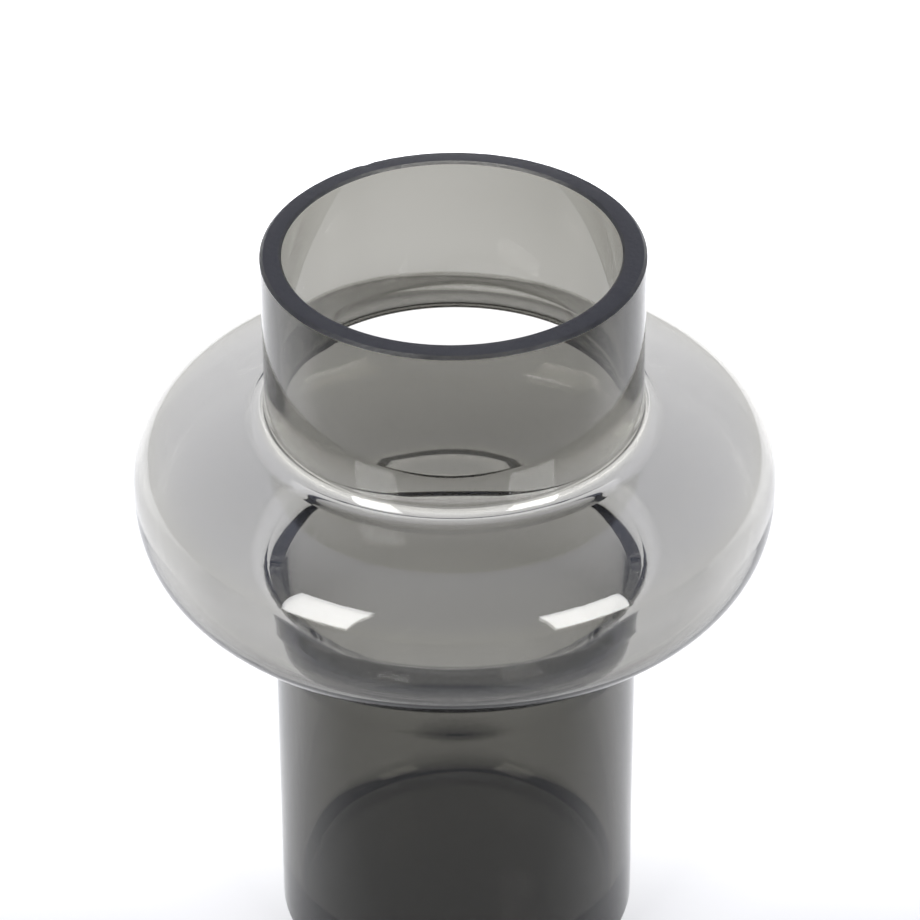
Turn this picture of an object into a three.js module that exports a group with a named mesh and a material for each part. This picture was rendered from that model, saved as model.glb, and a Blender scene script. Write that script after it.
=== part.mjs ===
// Smoked-glass cylinder vase with a disc-shaped bulge between its neck and its body.
// Millimetres, +Z up. The origin is the centre of the underside, on the surface it stands on.
//
// The vase is one blown piece: a thick tube whose middle is blown out into a thin hollow disc.
// Its outer outline runs from the rim down to the heel, and its inner outline beside it. Cuts
// across the wall divide it into the zones that a glassworker names. The zones meet face to face.

import * as THREE from 'three';

// Driving dimensions
const totalHeight = 250;
const neckRadius = 58.5;
const bodyRadius = 57.5;
const bulgeRadius = 100;
const bulgeMiddle = 168;
const bulgeTop = 192;
const bulgeBottom = 137.5;
const bulgeSquareness = 2.5; // exponent of the superellipse: 2 is an ellipse
const upperFillet = 6;
const lowerFillet = 7;
const rimHeight = 4;
const rimWall = 7;
const outerBevel = 1.0;
const innerBevel = 0.8;
const heelRadius = 4;
const floorThickness = 11;
const floorCorner = 10;

const neckFoot = bulgeTop + upperFillet;
const bodyTop = bulgeBottom - lowerFillet;

// The inner wall's corners, from the top down: where the neck opens out into the bulge, and
// where the bulge closes in to the body.
const neckMouth = { radius: 52.5, height: 205 };
const neckFlare = { radius: 54.9, height: 194.3 };
const upperLip = { radius: 59.4, height: 192.1 };
const lowerLip = { radius: 58.5, height: 137.5 };
const bodyFunnel = { radius: 54, height: 133 };
const bodyInside = { radius: 51.5, height: 105 };

// Thickness of the bulge's thin wall at heights above the underside
const shellStations = [
  { height: bulgeTop, wall: 2.2 },
  { height: bulgeMiddle, wall: 1.4 },
  { height: 150, wall: 1.8 },
  { height: bulgeBottom, wall: 2.6 },
];

// Facets
const turns = 48;
const filletSteps = 6;
const bulgeSteps = 12; // on a quarter of the bulge's section
const crownEnd = 5; // the step at which its nearly flat part ends
const shoulderEnd = 8; // and the step at which its outermost band begins
const heelSteps = 4;

const glass = { color: 0x5b5e63, roughness: 0.05, metalness: 0, transparent: true, opacity: 0.45 };
const groundGlass = { color: 0x41444d, roughness: 0.35, metalness: 0, transparent: true, opacity: 0.8 };

// An outline is a list of points, each Vector2(radius, height).
function point(radius, height) {
  return new THREE.Vector2(radius, height);
}

function corner(place) {
  return point(place.radius, place.height);
}

// Angles run anticlockwise from the outward direction.
function arc(centre, radius, fromDegrees, toDegrees, steps) {
  const points = [];
  for (let i = 0; i <= steps; i += 1) {
    const angle = THREE.MathUtils.degToRad(THREE.MathUtils.lerp(fromDegrees, toDegrees, i / steps));
    points.push(point(centre.x + radius * Math.cos(angle), centre.y + radius * Math.sin(angle)));
  }
  return points;
}

// A quarter of the bulge's section, a superellipse, from next to the fillet out to the bulge's
// middle. rise is positive above the middle and negative below it.
function bulgeQuarter(startRadius, rise) {
  const points = [];
  for (let step = 0; step <= bulgeSteps; step += 1) {
    const angle = (Math.PI / 2) * (1 - step / bulgeSteps);
    const outward = Math.cos(angle) ** (2 / bulgeSquareness);
    const upward = Math.sin(angle) ** (2 / bulgeSquareness);
    points.push(point(startRadius + (bulgeRadius - startRadius) * outward, bulgeMiddle + rise * upward));
  }
  return points;
}

function shellAt(height) {
  let upper = 0;
  while (upper < shellStations.length - 2 && height < shellStations[upper + 1].height) upper += 1;
  const above = shellStations[upper];
  const below = shellStations[upper + 1];
  const share = (height - below.height) / (above.height - below.height);
  return THREE.MathUtils.lerp(below.wall, above.wall, share);
}

// The bulge's inner surface lies inside the outer one by the shell's thickness, square to it.
function insideOf(outer) {
  return outer.map((onWall, i) => {
    const before = outer[Math.max(i - 1, 0)];
    const after = outer[Math.min(i + 1, outer.length - 1)];
    const along = after.clone().sub(before).normalize();
    const inward = point(along.y, -along.x);
    return onWall.clone().addScaledVector(inward, shellAt(onWall.y));
  });
}

// Turns a closed outline about the vase's axis. The outline runs down outside and up inside,
// and a lathe's faces point outwards when it is taken the other way round.
function turned(name, outline, look) {
  const closed = [...outline, outline[0].clone()];
  const geometry = new THREE.LatheGeometry(closed.reverse(), turns);
  geometry.rotateX(Math.PI / 2);
  const mesh = new THREE.Mesh(geometry, new THREE.MeshStandardMaterial(look));
  mesh.name = name;
  return mesh;
}

function groundRim(outerFoot, innerFoot) {
  const mouthRadius = neckRadius - rimWall;
  return turned('ground_rim', [
    point(mouthRadius, totalHeight - innerBevel),
    point(mouthRadius + innerBevel, totalHeight),
    point(neckRadius - outerBevel, totalHeight),
    point(neckRadius, totalHeight - outerBevel),
    outerFoot,
    innerFoot,
  ], groundGlass);
}

// The bulge's bands, each turned from the same stretch of the outer and the inner surface.
function bulgeBands(outer, inner) {
  const last = 2 * bulgeSteps;
  const cuts = [0, crownEnd, shoulderEnd, bulgeSteps, last - shoulderEnd, last - crownEnd, last];
  const names = [
    'bulge_crown',
    'bulge_upper_shoulder',
    'bulge_upper_edge',
    'bulge_lower_edge',
    'bulge_lower_shoulder',
    'bulge_underside',
  ];
  return names.map((name, i) => {
    const outside = outer.slice(cuts[i], cuts[i + 1] + 1);
    const inside = inner.slice(cuts[i], cuts[i + 1] + 1).reverse();
    return turned(name, [...outside, ...inside], glass);
  });
}

function base(outerTop, innerTop) {
  const heelCentre = point(bodyRadius - heelRadius, heelRadius);
  const cornerCentre = point(innerTop.x - floorCorner, innerTop.y);
  return turned('base', [
    outerTop,
    ...arc(heelCentre, heelRadius, 0, -90, heelSteps),
    point(0, 0),
    point(0, floorThickness),
    ...arc(cornerCentre, floorCorner, -90, 0, filletSteps),
  ], glass);
}

function buildVase() {
  const crownStart = neckRadius + upperFillet;
  const undersideStart = bodyRadius + lowerFillet;
  const upperQuarter = bulgeQuarter(crownStart, bulgeTop - bulgeMiddle);
  const lowerQuarter = bulgeQuarter(undersideStart, bulgeBottom - bulgeMiddle).reverse();
  const bulgeOuter = [...upperQuarter, ...lowerQuarter.slice(1)];
  const bulgeInner = insideOf(bulgeOuter);
  const crownInside = bulgeInner[0];
  const undersideInside = bulgeInner[bulgeInner.length - 1];

  const baseTop = floorThickness + floorCorner;
  const mouth = point(neckRadius - rimWall, totalHeight - innerBevel);
  const rimShare = (rimHeight - innerBevel) / (mouth.y - neckMouth.height);
  const neckTop = [point(neckRadius, totalHeight - rimHeight), mouth.lerp(corner(neckMouth), rimShare)];
  const neckBottom = [point(neckRadius, neckFoot), corner(neckMouth)];
  const bodyBottom = [point(bodyRadius, baseTop), point(bodyInside.radius, baseTop)];

  const vase = new THREE.Group();
  vase.add(groundRim(...neckTop));
  vase.add(turned('neck', [neckTop[0], ...neckBottom, neckTop[1]], glass));
  vase.add(turned('neck_foot', [
    ...arc(point(crownStart, neckFoot), upperFillet, 180, 270, filletSteps),
    crownInside,
    corner(upperLip),
    corner(neckFlare),
    corner(neckMouth),
  ], glass));
  vase.add(...bulgeBands(bulgeOuter, bulgeInner));
  vase.add(turned('body_shoulder', [
    ...arc(point(undersideStart, bodyTop), lowerFillet, 90, 180, filletSteps),
    corner(bodyFunnel),
    corner(lowerLip),
    undersideInside,
  ], glass));
  vase.add(turned('body_cylinder', [
    point(bodyRadius, bodyTop),
    ...bodyBottom,
    corner(bodyInside),
    corner(bodyFunnel),
  ], glass));
  vase.add(base(...bodyBottom));
  return vase;
}

const vase = buildVase();

export default vase;
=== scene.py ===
"""Smoked-glass cylinder vase with a disc-shaped bulge: its looks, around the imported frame.

Metres, +Z up, in the frame's own axes. The vase is one blown piece, so one closed glass mesh
stands for all the zones of the frame. It follows their outline, with a finer surface, a wall
whose thickness varies, and the small irregularities of blown glass.
"""
import math

import bpy
import numpy as np
from mathutils import Matrix, Vector


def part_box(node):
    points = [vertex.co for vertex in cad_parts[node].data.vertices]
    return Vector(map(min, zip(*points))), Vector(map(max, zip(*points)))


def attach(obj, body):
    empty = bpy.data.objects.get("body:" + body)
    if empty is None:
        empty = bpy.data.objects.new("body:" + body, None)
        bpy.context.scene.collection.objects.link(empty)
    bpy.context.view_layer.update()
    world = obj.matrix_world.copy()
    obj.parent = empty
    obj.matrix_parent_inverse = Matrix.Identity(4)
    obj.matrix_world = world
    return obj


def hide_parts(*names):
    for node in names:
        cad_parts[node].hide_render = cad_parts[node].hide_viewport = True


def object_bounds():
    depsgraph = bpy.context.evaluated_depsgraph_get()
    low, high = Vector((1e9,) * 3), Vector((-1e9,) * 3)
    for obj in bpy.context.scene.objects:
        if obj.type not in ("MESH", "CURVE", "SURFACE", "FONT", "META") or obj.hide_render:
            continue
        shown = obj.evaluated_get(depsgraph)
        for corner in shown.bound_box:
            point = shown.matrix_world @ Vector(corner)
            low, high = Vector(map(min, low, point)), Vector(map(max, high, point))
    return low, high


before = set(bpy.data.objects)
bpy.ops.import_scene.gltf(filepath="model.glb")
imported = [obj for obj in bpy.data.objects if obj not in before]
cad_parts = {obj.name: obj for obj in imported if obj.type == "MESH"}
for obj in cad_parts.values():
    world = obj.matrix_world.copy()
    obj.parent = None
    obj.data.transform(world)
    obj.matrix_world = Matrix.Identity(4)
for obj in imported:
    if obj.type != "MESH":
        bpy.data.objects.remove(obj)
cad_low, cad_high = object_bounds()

MM = 0.001

# Sizes that the frame gives
total_height = cad_high.z
bulge_radius = cad_high.x
neck_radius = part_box("neck")[1].x
neck_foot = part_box("neck")[0].z
bulge_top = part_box("bulge_crown")[1].z
bulge_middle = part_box("bulge_upper_edge")[0].z
bulge_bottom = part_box("bulge_underside")[0].z
body_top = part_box("body_shoulder")[0].z
body_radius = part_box("body_cylinder")[1].x
base_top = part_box("base")[1].z
upper_fillet = neck_foot - bulge_top
lower_fillet = bulge_bottom - body_top
crown_start = neck_radius + upper_fillet
underside_start = body_radius + lower_fillet

# Sizes of the glass itself
bulge_squareness = 2.5
outer_bevel = 1.0 * MM
inner_bevel = 0.8 * MM
heel_radius = 4.0 * MM
floor_thickness = 11.0 * MM
rim_wall = 7.0 * MM
body_wall = 6.0 * MM
neck_inside = [  # (radius, height, rounding) of the inner wall's corners where the neck opens out
    (52.5 * MM, 205.0 * MM, 20 * MM),
    (54.9 * MM, 194.3 * MM, 1.6 * MM),
    (59.4 * MM, 192.1 * MM, 0.8 * MM),
]
body_inside = [  # the same where the bulge closes in to the body
    (58.5 * MM, 137.5 * MM, 0.8 * MM),
    (54.0 * MM, 133.0 * MM, 2.5 * MM),
    (51.5 * MM, 105.0 * MM, 30 * MM),
]
shell_stations = [  # (height, thickness) of the thin bulge, from its crown down
    (bulge_top, 2.2 * MM),
    (bulge_middle, 1.4 * MM),
    (150 * MM, 1.8 * MM),
    (bulge_bottom, 2.6 * MM),
]

# Fineness of the mesh
turn_count = 216
fine_step = 0.25 * MM
turn_per_point = math.radians(2.5)
length_per_point = 5 * MM
points_per_corner = 16
points_per_quarter = 400
coincident = 1e-7
softening = 1.0 * MM
softening_reach = 4 * softening

# Small irregularities, as blown and ground by hand
wall_wave = 0.15 * MM
wall_lobes = [(3, 0.4, 45 * MM), (5, 2.1, -30 * MM)]  # (count, phase, height to a radian of twist)
inner_wave = 0.10 * MM
inner_lobes = (4, 1.3, 22 * MM)
wave_above_base = (8 * MM, 40 * MM)  # the heights over which the waves set in
wave_below_rim = (1.5 * MM, 12 * MM)  # the same, measured down from the rim
mouth_shift = (-0.4 * MM, 0.4 * MM)  # how far off centre the neck's inside moves
shift_above_bulge = (8 * MM, 25 * MM)  # the heights over which the neck's inside does so
edge_wear = 0.05 * MM
wear_seed = 11
chip_reach = math.radians(2.24)  # to each side of a chip's middle
chip_flat = math.radians(0.64)  # the part of that reach that is at full depth
chip_fall = 0.6  # how far a chip goes down, as a share of how far it goes in
chips = [  # (degrees round from +X, depth) in the rim's outer edge
    (-28, 0.35 * MM),
    (-44, 0.30 * MM),
    (-53, 0.25 * MM),
    (-96, 0.20 * MM),
    (-141, 0.25 * MM),
    (118, 0.25 * MM),
]


# ---------------------------------------------------------------- outline, as (radius, height)

def straight(start, end):
    count = max(2, round(math.dist(start, end) / fine_step))
    share = np.linspace(0, 1, count)[:, None]
    return np.array(start) * (1 - share) + np.array(end) * share


def arc(centre, radius, start_degrees, end_degrees):
    sweep = math.radians(abs(end_degrees - start_degrees))
    count = max(4, round(sweep * radius / fine_step))
    angles = np.radians(np.linspace(start_degrees, end_degrees, count))
    return np.stack([centre[0] + radius * np.cos(angles), centre[1] + radius * np.sin(angles)], 1)


def bulge_quarter(start_radius, rise):
    """The superellipse from beside a fillet round to the bulge's middle."""
    angles = np.linspace(math.pi / 2, 0, points_per_quarter)
    outward = np.abs(np.cos(angles)) ** (2 / bulge_squareness)
    upward = np.abs(np.sin(angles)) ** (2 / bulge_squareness)
    outward[-1], upward[-1] = 1, 0
    outward[0], upward[0] = 0, 1
    radii = start_radius + (bulge_radius - start_radius) * outward
    return np.stack([radii, bulge_middle + rise * upward], 1)


def joined(*runs):
    """One line from several, without the points that repeat where they meet."""
    points = np.concatenate(runs)
    apart = np.linalg.norm(np.diff(points, axis=0), axis=1) > coincident
    return points[np.concatenate([[True], apart])]


def even(points):
    """The same line with its points a fine step apart."""
    steps = np.linalg.norm(np.diff(points, axis=0), axis=1)
    along = np.concatenate([[0], np.cumsum(steps)])
    places = np.linspace(0, along[-1], round(along[-1] / fine_step) + 1)
    return np.stack([np.interp(places, along, points[:, axis]) for axis in (0, 1)], 1)


def softened(points):
    """Eases the curvature where arcs meet, as molten glass does. The ends are straight and stay."""
    reach = round(softening_reach / fine_step)
    weights = np.exp(-0.5 * (np.arange(-reach, reach + 1) * fine_step / softening) ** 2)
    weights /= weights.sum()
    before = 2 * points[0] - points[reach:0:-1]
    after = 2 * points[-1] - points[-2:-reach - 2:-1]
    padded = np.concatenate([before, points, after])
    return np.stack([np.convolve(padded[:, axis], weights, "valid") for axis in (0, 1)], 1)


def rounded(corners):
    """A line through (radius, height, rounding) corners, each turned as an arc of its rounding."""
    points = [corners[0][:2]]
    for before, corner, after in zip(corners, corners[1:], corners[2:]):
        here = Vector(corner[:2])
        back = (Vector(before[:2]) - here).normalized()
        ahead = (Vector(after[:2]) - here).normalized()
        half_angle = back.angle(ahead) / 2
        reach = corner[2] / math.tan(half_angle)
        centre = here + (back + ahead).normalized() * corner[2] / math.sin(half_angle)
        first = (here + back * reach - centre).normalized()
        last = (here + ahead * reach - centre).normalized()
        for share in np.linspace(0, 1, points_per_corner):
            points.append(centre + first.slerp(last, share) * corner[2])
    points.append(corners[-1][:2])
    pairs = zip(points, points[1:])
    return joined(*[straight(tuple(start), tuple(end)) for start, end in pairs])


def outer_wall():
    """From the foot of the rim's bevel down to the heel."""
    return softened(even(joined(
        straight((neck_radius, total_height - outer_bevel), (neck_radius, neck_foot)),
        arc((crown_start, neck_foot), upper_fillet, 180, 270),
        bulge_quarter(crown_start, bulge_top - bulge_middle),
        bulge_quarter(underside_start, bulge_bottom - bulge_middle)[::-1],
        arc((underside_start, body_top), lower_fillet, 90, 180),
        straight((body_radius, body_top), (body_radius, heel_radius)),
    )))


def shell_at(height):
    heights, thicknesses = np.array(shell_stations).T
    return np.interp(height, heights[::-1], thicknesses[::-1])


def bulge_inside():
    """The inner surface of the thin bulge, inside the outer one by the shell's thickness."""
    shell = even(joined(
        bulge_quarter(crown_start, bulge_top - bulge_middle),
        bulge_quarter(underside_start, bulge_bottom - bulge_middle)[::-1],
    ))
    along = np.gradient(shell, axis=0)
    along /= np.linalg.norm(along, axis=1)[:, None]
    inward = np.stack([along[:, 1], -along[:, 0]], 1)
    return shell + inward * shell_at(shell[:, 1])[:, None]


def inner_wall():
    """From the foot of the rim's inner bevel down to the floor's corner."""
    mouth = (neck_radius - rim_wall, total_height - inner_bevel, 0)
    floor_corner_top = (body_radius - body_wall, base_top, 0)
    shell = bulge_inside()
    return joined(
        rounded([mouth, *neck_inside, (*shell[0], 0)]),
        shell,
        rounded([(*shell[-1], 0), *body_inside, floor_corner_top]),
    )


def thinned(points):
    """Keeps the points that the shape needs: close on curves and far apart on straights."""
    along = np.diff(points, axis=0)
    angles = np.unwrap(np.arctan2(along[:, 1], along[:, 0]))
    turning = np.concatenate([[0], np.abs(np.diff(angles)), [0]]) / turn_per_point
    running = np.concatenate([[0], np.linalg.norm(along, axis=1)]) / length_per_point
    count = np.floor(np.cumsum(turning + running))
    keep = np.concatenate([[True], np.diff(count) > 0])
    keep[-1] = True
    return points[keep]


def outside():
    """From the underside's centre, out and up to the outer edge of the rim's flat."""
    heel = arc((body_radius - heel_radius, heel_radius), heel_radius, -90, 0)
    return joined(
        np.array([(0, 0), (body_radius - heel_radius, 0)]),
        thinned(heel),
        thinned(outer_wall()[::-1]),
        np.array([(neck_radius - outer_bevel, total_height)]),
    )


def inside():
    """From the inner edge of the rim's flat down to the floor's centre."""
    floor_corner = base_top - floor_thickness
    corner = arc((body_radius - body_wall - floor_corner, base_top), floor_corner, 0, -90)
    return joined(
        np.array([(neck_radius - rim_wall + inner_bevel, total_height)]),
        thinned(inner_wall()),
        thinned(corner),
        np.array([(0, floor_thickness)]),
    )


# ---------------------------------------------------------------- the glass mesh

def eased(value, start, end):
    """From 0 at the start to 1 at the end, smoothly."""
    share = min(max((value - start) / (end - start), 0), 1)
    return share * share * (3 - 2 * share)


def lobed(turns, height, count, phase, twist):
    """A wave round the vase, from -1 to 1, that twists as it rises."""
    return np.sin(count * turns + phase + height / twist)


def blown_ring(radius, height, turns, on_inside):
    """A ring of the wall, a little out of round. The outside is only ever moved inwards."""
    free = eased(height, *wave_above_base) * eased(total_height - height, *wave_below_rim)
    wave = sum(lobed(turns, height, *lobes) for lobes in wall_lobes)
    share = 0.5 + 0.25 * wave
    radii = radius - wall_wave * free * share
    shift_x, shift_y = 0, 0
    if on_inside:
        radii += inner_wave * free * lobed(turns, height, *inner_lobes)
        in_neck = eased(height - bulge_top, *shift_above_bulge)
        shift_x, shift_y = mouth_shift[0] * in_neck, mouth_shift[1] * in_neck
    heights = np.full_like(turns, height)
    across = radii * np.cos(turns) + shift_x
    back = radii * np.sin(turns) + shift_y
    return np.stack([across, back, heights], 1)


def worn(ring, turns):
    """The outer edge of the rim's flat: a fine unevenness all round, and the chips."""
    depth = np.random.default_rng(wear_seed).uniform(0, edge_wear, turn_count)
    for degrees, chip_depth in chips:
        apart = np.abs((turns - math.radians(degrees) + math.pi) % (2 * math.pi) - math.pi)
        share = np.clip((chip_reach - apart) / (chip_reach - chip_flat), 0, 1)
        depth = np.maximum(depth, chip_depth * share)
    radii = np.linalg.norm(ring[:, :2], axis=1)
    away = ring.copy()
    away[:, :2] *= (1 - depth / radii)[:, None]
    away[:, 2] -= chip_fall * depth
    return away


def turned_mesh(name, outer, inner):
    """Turns the outside and the inside, which start and end on the axis, into one closed mesh."""
    turns = np.linspace(0, 2 * math.pi, turn_count, endpoint=False)
    rings = [blown_ring(radius, height, turns, False) for radius, height in outer[1:]]
    rings += [blown_ring(radius, height, turns, True) for radius, height in inner[:-1]]
    outer_edge = len(outer) - 2
    rings[outer_edge] = worn(rings[outer_edge], turns)
    places = np.concatenate([[(0, 0, outer[0][1])], *rings, [(0, 0, inner[-1][1])]])
    last = len(places) - 1
    faces = []
    for j in range(turn_count):
        beside = (j + 1) % turn_count
        faces.append((0, 1 + beside, 1 + j))
        for i in range(len(rings) - 1):
            here, above = 1 + i * turn_count, 1 + (i + 1) * turn_count
            faces.append((here + j, here + beside, above + beside, above + j))
        top = 1 + (len(rings) - 1) * turn_count
        faces.append((last, top + j, top + beside))
    mesh = bpy.data.meshes.new(name)
    mesh.from_pydata(places.tolist(), [], faces)
    mesh.shade_smooth()
    mark_rim_edges(mesh, outer_edge)
    mesh.update()
    piece = bpy.data.objects.new(name, mesh)
    bpy.context.scene.collection.objects.link(piece)
    return piece


def mark_rim_edges(mesh, outer_edge):
    """The two edges of each of the rim's bevels are sharp. They are four rings in a row."""
    for edge in mesh.edges:
        first, second = [(vertex - 1) // turn_count for vertex in edge.vertices]
        edge.use_edge_sharp = first == second and outer_edge - 1 <= first <= outer_edge + 2


# ---------------------------------------------------------------- the glass

glass_index = 1.52
glass_tint = (0.37, 0.36, 0.315, 1)
glass_density = 310  # per metre
ground_roughness = 0.45
ground_blend = 0.1 * MM
grit_scale = 600  # per metre
grit_height = 0.6 * MM


def smoked_glass():
    """Smoked glass, polished all over but for the rim's ground flat."""
    material = bpy.data.materials.new("smoked_glass")
    material.use_nodes = True
    nodes, links = material.node_tree.nodes, material.node_tree.links
    shader = nodes["Principled BSDF"]
    shader.inputs["Base Color"].default_value = (1, 1, 1, 1)
    shader.inputs["Transmission Weight"].default_value = 1
    shader.inputs["IOR"].default_value = glass_index
    place = nodes.new("ShaderNodeNewGeometry")
    height = nodes.new("ShaderNodeSeparateXYZ")
    links.new(place.outputs["Position"], height.inputs[0])
    ground = nodes.new("ShaderNodeMapRange")
    ground.inputs["From Min"].default_value = total_height - outer_bevel - ground_blend
    ground.inputs["From Max"].default_value = total_height - outer_bevel + ground_blend
    ground.inputs["To Min"].default_value = 0.0
    ground.inputs["To Max"].default_value = ground_roughness
    links.new(height.outputs["Z"], ground.inputs["Value"])
    grit = nodes.new("ShaderNodeTexNoise")
    grit.inputs["Scale"].default_value = grit_scale
    grit.inputs["Detail"].default_value = 4
    grit_depth = nodes.new("ShaderNodeMath")
    grit_depth.operation = "MULTIPLY"
    marks = nodes.new("ShaderNodeBump")
    marks.inputs["Strength"].default_value = 1.0
    marks.inputs["Distance"].default_value = grit_height
    links.new(place.outputs["Position"], grit.inputs["Vector"])
    links.new(grit.outputs["Fac"], grit_depth.inputs[0])
    links.new(ground.outputs[0], grit_depth.inputs[1])
    links.new(grit_depth.outputs[0], marks.inputs["Height"])
    links.new(marks.outputs["Normal"], shader.inputs["Normal"])
    links.new(ground.outputs[0], shader.inputs["Roughness"])
    absorption = nodes.new("ShaderNodeVolumeAbsorption")
    absorption.inputs["Color"].default_value = glass_tint
    absorption.inputs["Density"].default_value = glass_density
    links.new(absorption.outputs[0], nodes["Material Output"].inputs["Volume"])
    return material


vase = turned_mesh("glass_vase", outside(), inside())
vase.data.materials.append(smoked_glass())
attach(vase, "root")
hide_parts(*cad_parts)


# ---------------------------------------------------------------- floor, light and camera

floor_half = 6.0
floor_drop = 0.3 * MM  # below the vase, so that their faces don't coincide
# Painted light: the floor glows by emission, strongest behind the vase, standing in for a lit sweep
# behind it and filling in the vase's own shadow.
floor_brightness = 1.75
glow_start = -0.3
glow_end = 0.7
floor_glow = [  # (metres behind the vase's axis, share of the brightness)
    (-0.30, 0.03),
    (-0.08, 0.12),
    (0.04, 0.52),
    (0.15, 0.56),
    (0.27, 0.58),
    (0.42, 0.80),
    (0.65, 0.96),
]

softbox_distance = 2.5
softbox_brightness = 11
softboxes = [  # (name, azimuth, elevation, width, height), in degrees as the vase sees them
    ("softbox_left", -46, 25, 24, 38),
    ("softbox_right", 45, 21, 26, 28),
]

overhead_rise = 0.6  # of a direction in which the world has its overhead colour: straight up is 1
overhead_colour = (0.72, 0.75, 0.97, 1)
dim_depth = -0.6  # of a direction in which it is dimmest: straight towards the camera's side is -1
bright_depth = 0.4
camera_side_strength = 0.7

camera_elevation = math.radians(34.71)
camera_roll = math.radians(-0.29)
camera_distance = 1.3985
camera_lens = 176.09
camera_aim = Vector((1.7 * MM, 0, 173.3 * MM))


def glowing_floor():
    """A pale floor whose light is painted: it glows by its own emission, most strongly behind the
    vase, in place of a lit background sweep, and this glow also fills in the vase's own shadow on
    it.
    """
    material = bpy.data.materials.new("pale_floor")
    material.use_nodes = True
    nodes, links = material.node_tree.nodes, material.node_tree.links
    shader = nodes["Principled BSDF"]
    shader.inputs["Base Color"].default_value = (0.3, 0.3, 0.3, 1)
    shader.inputs["Roughness"].default_value = 0.9
    shader.inputs["Specular IOR Level"].default_value = 0.0
    shader.inputs["Emission Color"].default_value = (1, 1, 1, 1)
    place = nodes.new("ShaderNodeNewGeometry")
    split = nodes.new("ShaderNodeSeparateXYZ")
    depth = nodes.new("ShaderNodeMapRange")
    depth.inputs["From Min"].default_value = glow_start
    depth.inputs["From Max"].default_value = glow_end
    glow = nodes.new("ShaderNodeValToRGB")
    glow.color_ramp.elements.remove(glow.color_ramp.elements[1])
    for number, (behind, share) in enumerate(floor_glow):
        position = (behind - glow_start) / (glow_end - glow_start)
        if number:
            glow.color_ramp.elements.new(position)
        stop = glow.color_ramp.elements[number]
        stop.position = position
        stop.color = (share, share, share, 1)
    strength = nodes.new("ShaderNodeMath")
    strength.operation = "MULTIPLY"
    strength.inputs[1].default_value = floor_brightness
    links.new(place.outputs["Position"], split.inputs[0])
    links.new(split.outputs["Y"], depth.inputs["Value"])
    links.new(depth.outputs[0], glow.inputs["Fac"])
    links.new(glow.outputs["Color"], strength.inputs[0])
    # Painted light: the glow, brighter further behind the vase, drives the floor's emission.
    links.new(strength.outputs[0], shader.inputs["Emission Strength"])
    square = [(-1, -1), (1, -1), (1, 1), (-1, 1)]
    corners = [(x * floor_half, y * floor_half, -floor_drop) for x, y in square]
    mesh = bpy.data.meshes.new("floor")
    mesh.from_pydata(corners, [], [(0, 1, 2, 3)])
    mesh.materials.append(material)
    floor = bpy.data.objects.new("floor", mesh)
    bpy.context.scene.collection.objects.link(floor)


def softbox(name, azimuth, elevation, width_degrees, height_degrees):
    """A rectangular light that faces the vase. Azimuth 0 is the camera's side, and 90 is +X."""
    light = bpy.data.lights.new(name, "AREA")
    light.shape = "RECTANGLE"
    light.size = 2 * softbox_distance * math.tan(math.radians(width_degrees / 2))
    light.size_y = 2 * softbox_distance * math.tan(math.radians(height_degrees / 2))
    light.energy = softbox_brightness * math.pi * light.size * light.size_y
    holder = bpy.data.objects.new(name, light)
    bpy.context.scene.collection.objects.link(holder)
    turn, rise = math.radians(azimuth), math.radians(elevation)
    level = Vector((math.sin(turn), -math.cos(turn), 0))
    toward = level * math.cos(rise) + Vector((0, 0, math.sin(rise)))
    holder.location = Vector((0, 0, bulge_middle)) + toward * softbox_distance
    holder.rotation_euler = (-toward).to_track_quat("-Z", "Y").to_euler()


def studio_world():
    """White behind the vase, dimmer on the camera's side, and a little bluer overhead."""
    world = bpy.data.worlds.new("studio")
    bpy.context.scene.world = world
    world.use_nodes = True
    nodes, links = world.node_tree.nodes, world.node_tree.links
    direction = nodes.new("ShaderNodeTexCoord")
    split = nodes.new("ShaderNodeSeparateXYZ")
    ramp = nodes.new("ShaderNodeValToRGB")
    ramp.color_ramp.elements[0].position = 0.0
    ramp.color_ramp.elements[0].color = (1.0, 1.0, 1.0, 1)
    ramp.color_ramp.elements[1].position = overhead_rise
    ramp.color_ramp.elements[1].color = overhead_colour
    links.new(direction.outputs["Generated"], split.inputs[0])
    links.new(split.outputs["Z"], ramp.inputs[0])
    links.new(ramp.outputs["Color"], nodes["Background"].inputs["Color"])
    depth = nodes.new("ShaderNodeMapRange")
    depth.inputs["From Min"].default_value = dim_depth
    depth.inputs["From Max"].default_value = bright_depth
    depth.inputs["To Min"].default_value = camera_side_strength
    depth.inputs["To Max"].default_value = 1.0
    links.new(split.outputs["Y"], depth.inputs["Value"])
    links.new(depth.outputs[0], nodes["Background"].inputs["Strength"])


def camera_at_photograph_angle():
    camera = bpy.data.cameras.new("camera")
    camera.sensor_width = 36
    camera.lens = camera_lens
    holder = bpy.data.objects.new("camera", camera)
    bpy.context.scene.collection.objects.link(holder)
    back = Vector((0, -math.cos(camera_elevation), math.sin(camera_elevation)))
    level_right = Vector((1, 0, 0))
    level_up = Vector((0, math.sin(camera_elevation), math.cos(camera_elevation)))
    right = level_right * math.cos(camera_roll) + level_up * math.sin(camera_roll)
    up = -level_right * math.sin(camera_roll) + level_up * math.cos(camera_roll)
    turn = Matrix((right, up, back)).transposed()
    place = camera_aim + back * camera_distance
    holder.matrix_world = Matrix.Translation(place) @ turn.to_4x4()
    bpy.context.scene.camera = holder


glowing_floor()
studio_world()
for placing in softboxes:
    softbox(*placing)
camera_at_photograph_angle()

scene = bpy.context.scene
scene.view_settings.view_transform = "Standard"
scene.cycles.max_bounces = 32
scene.cycles.transmission_bounces = 32
scene.cycles.glossy_bounces = 16
